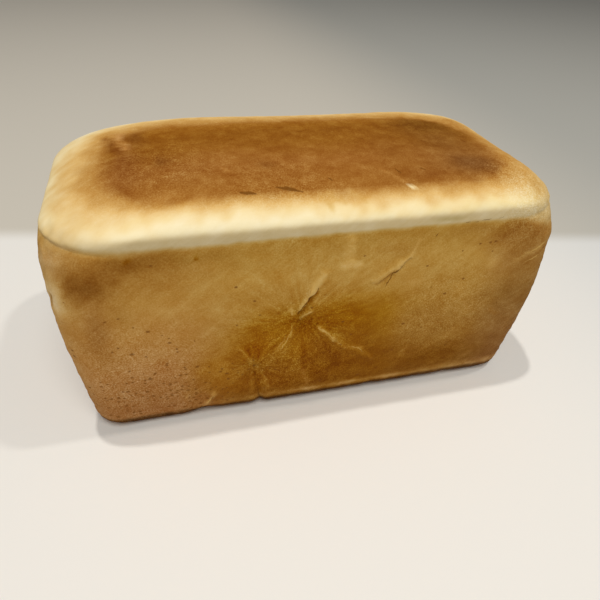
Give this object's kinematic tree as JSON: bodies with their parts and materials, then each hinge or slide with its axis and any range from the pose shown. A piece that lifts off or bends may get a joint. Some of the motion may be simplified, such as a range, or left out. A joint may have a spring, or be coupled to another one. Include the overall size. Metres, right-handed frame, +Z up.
{
  "type": "tin loaf",
  "caption": "Whole uncut white tin loaf with a flat browned top, a pale rounded shoulder and golden tapered walls.",
  "frame": {"origin": "middle of the loaf's outline, on the plane of its flat base", "axes": "+Z up, X along the loaf's length, front wall towards -Y"},
  "size_m": [0.2374, 0.1252, 0.1207],
  "materials": {
    "crust": "matt baked crust, brown on top, cream on the shoulder and golden on the walls"
  },
  "bodies": {
    "root": {"loaf": "crust"}
  },
  "joints": []
}
